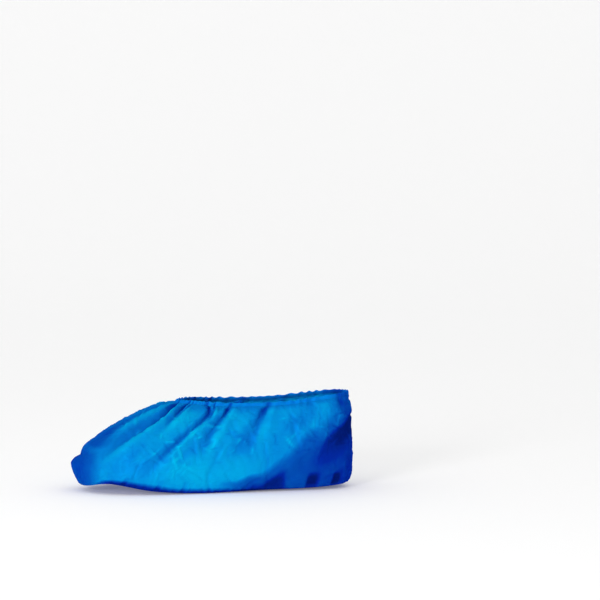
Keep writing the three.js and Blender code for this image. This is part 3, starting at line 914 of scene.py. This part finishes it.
def make_hem():
    edge = folded[0]
    along = np.roll(edge, -1, 0) - np.roll(edge, 1, 0)
    aside = unit(np.stack([-along[:, 1], along[:, 0], np.zeros(COLUMNS)], -1))
    upward = unit(UP + HEM_LEAN * unit(taut[0] - taut[HEM_LEAN_ROW]))
    crest = rim_ruffles[0] / RUFFLE_DEPTH
    rings = []
    for out, up in HEM_PROFILE:
        share = up / HEM_TALL
        push = out + HEM_SWAY * share * crest
        lift = up + HEM_LIFT * share * crest
        rings.append(edge + aside * push[:, None] + upward * lift[:, None])
    rings.append(rings[0])
    hem = make_object("ruffled_hem", np.stack(rings), ring_faces(len(rings) - 1, COLUMNS)[:, ::-1])
    paint_tone(hem, np.tile(film_tone[0], (len(rings), 1)))
    join_doubles(hem)
    return hem


hem = make_hem()
print("hem", len(hem.data.vertices), "points", len(hem.data.polygons), "faces")

# %% [markdown]
# ## Shader maths
# A material is a tree of nodes. Writing its maths as Python expressions is easier to read than a list
# of nodes and links, so one small class wraps a socket and lets the operators add Math nodes.

# %% Shader maths


class Wire:
    """A socket of a material's node tree. Python's operators on it add Math nodes."""

    def __init__(self, tree, socket=None):
        self.tree = tree
        self.socket = socket

    def node(self, kind, settings=None, inputs=None, output=0):
        """Adds any node: its settings first, then the values or links of its sockets."""
        made = self.tree.nodes.new(kind)
        for name, value in (settings or {}).items():
            if name == "stops":
                fill_ramp(made.color_ramp, value)
            else:
                setattr(made, name, value)
        for name, value in (inputs or {}).items():
            if isinstance(value, Wire):
                self.tree.links.new(value.socket, made.inputs[name])
            else:
                made.inputs[name].default_value = value
        return Wire(self.tree, made.outputs[output])

    def math(self, operation, first, second):
        return self.node("ShaderNodeMath", {"operation": operation}, {0: first, 1: second})

    def __add__(self, other):
        return self.math("ADD", self, other)

    __radd__ = __add__

    def __sub__(self, other):
        return self.math("SUBTRACT", self, other)

    def __rsub__(self, other):
        return self.math("SUBTRACT", other, self)

    def __mul__(self, other):
        return self.math("MULTIPLY", self, other)

    __rmul__ = __mul__


def fill_ramp(ramp, stops):
    while len(ramp.elements) < len(stops):
        ramp.elements.new(1)
    for element, (position, colour) in zip(ramp.elements, stops):
        element.position = position
        element.color = colour


def new_material(name, constants):
    """A material with one Principled shader, its constant sockets set, and a wire to build on."""
    material = bpy.data.materials.new(name)
    material.use_nodes = True
    shader = material.node_tree.nodes["Principled BSDF"]
    for socket, value in constants.items():
        shader.inputs[socket].default_value = value
    return material, shader, Wire(material.node_tree)


def connect(shader, socket, wire):
    wire.tree.links.new(wire.socket, shader.inputs[socket])


print("helpers", [helper.__name__ for helper in (Wire, fill_ramp, new_material, connect)])

# %% [markdown]
# ## Film materials
# The film is soft, has a faint blue sheen and lets some light through. The tone that the mesh carries
# drives a ramp between five blues, with a little cloudiness, and a fine grain breaks up the sheen. A
# glass shader could make it truly see-through, but the empty inside would then show through every fold,
# so subsurface scattering stands for the light that comes through. A small share of metal gives the
# sheen, because a plain gloss would be white. The hem is the same film, a touch lighter: a painted
# highlight for the light that it catches from above.

# %% Film materials
# Tone, and the blue that it gives.
FILM_BLUES = [
    (0, (0.001, 0.42, 0.8, 1)),
    (0.3, (0.001, 0.195, 0.62, 1)),
    (0.55, (0.001, 0.085, 0.445, 1)),
    (0.8, (0.001, 0.018, 0.325, 1)),
    (1, (0.001, 0.008, 0.13, 1)),
]
FILM_LOOK = {
    "Metallic": 0.08,
    "Specular IOR Level": 0.0,
    "Specular Tint": (0.05, 0.5, 1, 1),
    "Subsurface Weight": 0.45,
    "Subsurface Radius": (0.2, 0.8, 1),
    "Subsurface Scale": 0.004,
}
HEM_LIGHTER = 0.03  # painted highlight, taken off the hem's tone
CLOUD = {"Scale": 60.0, "Detail": 4.0}
CLOUD_MIDDLE = 0.5
CLOUD_TONE = 0.16  # how far the cloudiness moves the tone
SMOOTHEST = 0.32  # roughness
ROUGHER = 0.25  # added where the film is cloudy
GRAIN_SCALE = 900.0
GRAIN_RELIEF = {"Strength": 0.15, "Distance": 0.3 * MM}


def film_material(name, lighter):
    material, shader, wire = new_material(name, FILM_LOOK)
    place = wire.node("ShaderNodeTexCoord", output="Object")
    tone = wire.node("ShaderNodeAttribute", {"attribute_name": TONE_NAME}, output="Fac")
    cloud = wire.node("ShaderNodeTexNoise", None, {"Vector": place, **CLOUD})
    depth = tone + (cloud - CLOUD_MIDDLE) * CLOUD_TONE - lighter
    connect(shader, "Base Color", wire.node("ShaderNodeValToRGB", {"stops": FILM_BLUES}, {0: depth}))
    connect(shader, "Roughness", cloud * ROUGHER + SMOOTHEST)
    grain = wire.node("ShaderNodeTexVoronoi", None, {"Vector": place, "Scale": GRAIN_SCALE})
    connect(shader, "Normal", wire.node("ShaderNodeBump", None, {"Height": grain, **GRAIN_RELIEF}))
    return material


film.data.materials.append(film_material("blue film", 0))
hem.data.materials.append(film_material("hem film", HEM_LIGHTER))
print("materials", [material.name for material in bpy.data.materials])

# %% [markdown]
# ## Floor and light
# A flat floor would show a horizon, so the cover stands on a pale sweep, a floor that curves up behind
# into a wall. A little glow of its own keeps the sweep near white. The light is a white surround with a
# large soft lamp in front, on the toe's side. A bare lamp alone would leave hard shadows.

# %% Floor
FLOOR_GAP = 0.3 * MM
FLOOR_FRONT = 6.0  # metres from the cover to the sweep's front edge
FLOOR_BACK = 3.0  # and back to where it starts to curve up
FLOOR_SIDE = 8.0  # and out to each side
SWEEP_RADIUS = 2.0
SWEEP_POINTS = 17
WALL_TOP = 6.0
FLOOR_LOOK = {"Roughness": 0.9, "Emission Color": (1, 1, 1, 1), "Emission Strength": 0.13}
FLOOR_WHITE = 0.9
FLOOR_SPECK = 0.02
SPECK_SCALE = 3.0


def make_floor():
    turns = np.linspace(0, np.pi / 2, SWEEP_POINTS)
    sweep_y = FLOOR_BACK + SWEEP_RADIUS * np.sin(turns)
    sweep_z = SWEEP_RADIUS * (1 - np.cos(turns))
    ys = np.concatenate([[-FLOOR_FRONT], sweep_y, [sweep_y[-1]]])
    zs = np.concatenate([[0], sweep_z, [WALL_TOP]]) + FLOOR_Z - FLOOR_GAP
    points = np.array([[(x, y, z) for x in (-FLOOR_SIDE, FLOOR_SIDE)] for y, z in zip(ys, zs)])
    faces = np.array([[2 * i, 2 * i + 1, 2 * i + 3, 2 * i + 2] for i in range(len(ys) - 1)])
    floor = make_object("floor", points, faces)
    material, shader, wire = new_material("pale floor", FLOOR_LOOK)
    speck = wire.node("ShaderNodeTexNoise", None, {"Scale": SPECK_SCALE})
    connect(shader, "Base Color", speck * FLOOR_SPECK + FLOOR_WHITE)
    floor.data.materials.append(material)
    return floor


floor = make_floor()
print("floor", len(floor.data.polygons), "faces")

# %% Light
SURROUND_STRENGTH = 0.8
LAMP_PLACE = Vector((-1.5, -2.6, 0.6))
LAMP_AIM = Vector((0, 0, 0.05))
LAMP_SIZE = 0.8
LAMP_WATTS = 48


def make_lamp():
    data = bpy.data.lights.new("key", "AREA")
    data.size = LAMP_SIZE
    data.energy = LAMP_WATTS
    lamp = bpy.data.objects.new("key", data)
    lamp.location = LAMP_PLACE
    lamp.rotation_mode = "QUATERNION"
    lamp.rotation_quaternion = (LAMP_AIM - LAMP_PLACE).to_track_quat("-Z", "Y")
    bpy.context.scene.collection.objects.link(lamp)
    return lamp


def make_surround():
    world = bpy.data.worlds.new("studio")
    world.use_nodes = True
    background = world.node_tree.nodes["Background"]
    background.inputs["Color"].default_value = (1, 1, 1, 1)
    background.inputs["Strength"].default_value = SURROUND_STRENGTH
    bpy.context.scene.world = world


lamp = make_lamp()
make_surround()
bpy.context.scene.view_settings.view_transform = "Standard"
print("lamp", lamp.name, "of", lamp.data.energy, "watts")

# %% [markdown]
# ## Joining the frame
# Both pieces ride the part's one body, and each stands for its solids, which are hidden. The film was
# cut from a sheet of two panels of 400 by 150 mm.

# %% Joining the frame
for piece, nodes, slot in ((film, FILM_NODES, "blue_film"), (hem, ["elastic_hem"], "hem_film")):
    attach(piece, "root")
    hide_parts(*nodes)
